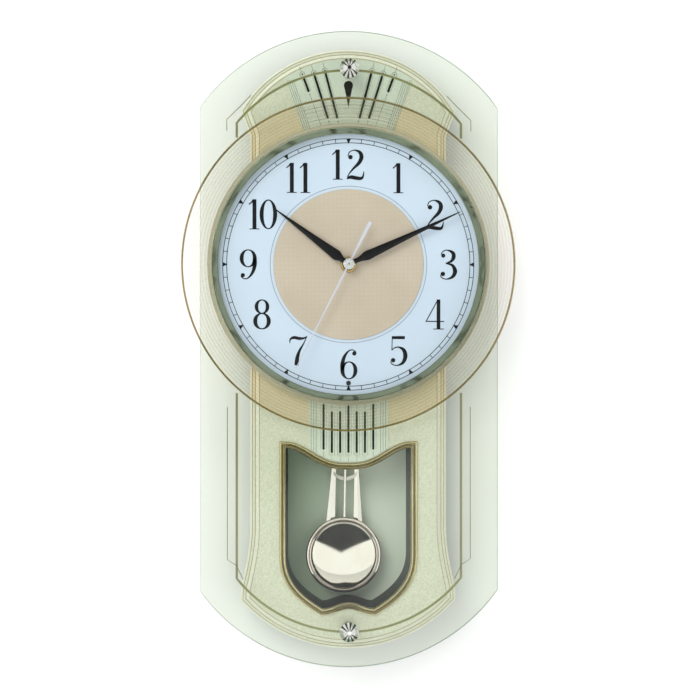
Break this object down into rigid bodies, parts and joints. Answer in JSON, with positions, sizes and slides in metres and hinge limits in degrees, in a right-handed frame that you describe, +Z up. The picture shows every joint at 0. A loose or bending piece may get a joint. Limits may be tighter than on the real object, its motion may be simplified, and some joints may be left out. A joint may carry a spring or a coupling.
{
  "type": "pendulum wall clock",
  "caption": "Wall clock with a tall arched glass front over a moulded case, a round dial with three hands in a ribbed ring, and a pendulum swinging in a window below.",
  "frame": {"origin": "centre of the flat back of the rear housing, on the wall plane at mid-height", "axes": "+Z up the clock, -Y out of the wall towards the viewer, +X to the viewer's right"},
  "size_m": [0.284, 0.0699, 0.535],
  "materials": {
    "toughened_glass": "polished pale green glass",
    "amber_acrylic": "clear tinted ribbed acrylic",
    "champagne_lacquer": "metallic champagne lacquer",
    "silver_lacquer": "satin silver-green lacquer",
    "gold_plate": "pale gold plate on moulded plastic",
    "bezel_plate": "mirror polished pale gold plate",
    "chrome_plate": "diamond cut chrome",
    "brass": "machined brass",
    "steel": "plain steel",
    "enamelled_copper": "wound enamelled wire",
    "dial_card": "printed white dial",
    "dial_mesh": "fine textured beige disc",
    "black_aluminium": "satin black lacquer",
    "white_aluminium": "white lacquer",
    "black_plastic": "moulded black plastic",
    "ivory_plastic": "moulded ivory plastic",
    "white_nylon": "moulded nylon",
    "grey_card": "satin grey-green panel",
    "black_cloth": "woven speaker cloth",
    "circuit_board": "solder masked board",
    "cell_wrap": "printed cell sleeve"
  },
  "bodies": {
    "case": {"rear_housing": "black_plastic", "case_front": "champagne_lacquer", "glass_panel": "toughened_glass", "top_cap_nut": "chrome_plate", "bottom_cap_nut": "chrome_plate", "top_standoff": "steel", "bottom_standoff": "steel", "ribbed_ring": "amber_acrylic", "dial_bezel": "bezel_plate", "dial_pan": "ivory_plastic", "dial_plate": "dial_card", "dial_centre_disc": "dial_mesh", "light_sensor": "black_plastic", "movement_nut": "brass", "upper_slot_panel": "silver_lacquer", "lower_slot_panel": "silver_lacquer", "upper_grille_cloth": "black_cloth", "lower_grille_cloth": "black_cloth", "window_trim": "gold_plate", "window_surround": "black_plastic", "window_backing": "grey_card", "case_screw_1": "steel", "case_screw_2": "steel", "case_screw_3": "steel", "case_screw_4": "steel", "keyhole_hanger": "steel", "movement_case": "black_plastic", "movement_cover": "ivory_plastic", "motor_coil": "enamelled_copper", "motor_stator": "steel", "melody_board": "circuit_board", "speaker_body": "steel", "speaker_cone": "black_cloth", "battery_box": "black_plastic", "lower_battery": "cell_wrap", "upper_battery": "cell_wrap", "drive_case": "black_plastic", "drive_coil": "enamelled_copper", "pendulum_pin": "steel"},
    "second_arbor": {"second_hand": "white_aluminium", "second_hand_cap": "chrome_plate", "second_wheel": "white_nylon"},
    "third_arbor": {"third_wheel": "white_nylon"},
    "centre_wheel_body": {"centre_wheel": "white_nylon"},
    "fifth_arbor": {"fifth_wheel": "white_nylon"},
    "rotor_arbor": {"stepper_rotor": "steel"},
    "minute_pipe": {"minute_hand": "black_aluminium", "cannon_pinion": "brass"},
    "minute_wheel_body": {"minute_wheel": "white_nylon"},
    "hour_pipe": {"hour_hand": "black_aluminium", "hour_wheel": "white_nylon"},
    "set_arbor": {"time_set_knob": "white_nylon"},
    "pendulum": {"pendulum_hanger": "ivory_plastic", "drive_magnet": "steel", "pendulum_frame": "gold_plate", "bob_back": "brass", "bob_dome": "gold_plate"},
    "door": {"battery_door": "black_plastic"},
    "switch": {"chime_switch": "ivory_plastic"},
    "volume": {"volume_knob": "ivory_plastic"}
  },
  "joints": [
    {"name": "second_spin", "type": "hinge", "parent": "case", "child": "second_arbor", "pos_m": [0, -0.03, 0.072], "axis": [0, 1, 0], "continuous": true},
    {"name": "third_spin", "type": "hinge", "parent": "case", "child": "third_arbor", "pos_m": [-0.01269, -0.03, 0.06738], "axis": [0, 1, 0], "continuous": true},
    {"name": "centre_spin", "type": "hinge", "parent": "case", "child": "centre_wheel_body", "pos_m": [0, -0.03, 0.072], "axis": [0, 1, 0], "continuous": true},
    {"name": "fifth_spin", "type": "hinge", "parent": "case", "child": "fifth_arbor", "pos_m": [0.006, -0.03, 0.08239], "axis": [0, 1, 0], "continuous": true},
    {"name": "rotor_spin", "type": "hinge", "parent": "case", "child": "rotor_arbor", "pos_m": [-0.00309, -0.03, 0.08764], "axis": [0, 1, 0], "continuous": true},
    {"name": "minute_spin", "type": "hinge", "parent": "case", "child": "minute_pipe", "pos_m": [0, -0.03, 0.072], "axis": [0, 1, 0], "continuous": true},
    {"name": "minute_wheel_spin", "type": "hinge", "parent": "case", "child": "minute_wheel_body", "pos_m": [0.01, -0.03, 0.072], "axis": [0, 1, 0], "continuous": true},
    {"name": "hour_spin", "type": "hinge", "parent": "case", "child": "hour_pipe", "pos_m": [0, -0.03, 0.072], "axis": [0, 1, 0], "continuous": true},
    {"name": "set_knob_spin", "type": "hinge", "parent": "case", "child": "set_arbor", "pos_m": [0.02125, -0.03, 0.072], "axis": [0, 1, 0], "continuous": true},
    {"name": "pendulum_swing", "type": "hinge", "parent": "case", "child": "pendulum", "pos_m": [0, -0.015, -0.004], "axis": [0, 1, 0], "range_deg": [-6.1, 3.9]},
    {"name": "battery_door_hinge", "type": "hinge", "parent": "case", "child": "door", "pos_m": [0, -0.0003, 0.1198], "axis": [-1, 0, 0], "range_deg": [0, 110]},
    {"name": "chime_switch_slide", "type": "slide", "parent": "case", "child": "switch", "axis": [1, 0, 0], "range_m": [0, 0.008]},
    {"name": "volume_turn", "type": "hinge", "parent": "case", "child": "volume", "pos_m": [0.016, -0.003, 0.1085], "axis": [0, 1, 0], "range_deg": [-135, 135]}
  ],
  "couplings": [
    {"joint": "third_spin", "follows": "second_spin", "ratio": -0.13333},
    {"joint": "centre_spin", "follows": "second_spin", "ratio": 0.016667},
    {"joint": "fifth_spin", "follows": "second_spin", "ratio": -5},
    {"joint": "rotor_spin", "follows": "second_spin", "ratio": 30},
    {"joint": "minute_wheel_spin", "follows": "minute_spin", "ratio": -0.33333},
    {"joint": "hour_spin", "follows": "minute_spin", "ratio": 0.083333},
    {"joint": "set_knob_spin", "follows": "minute_spin", "ratio": 0.66667}
  ]
}
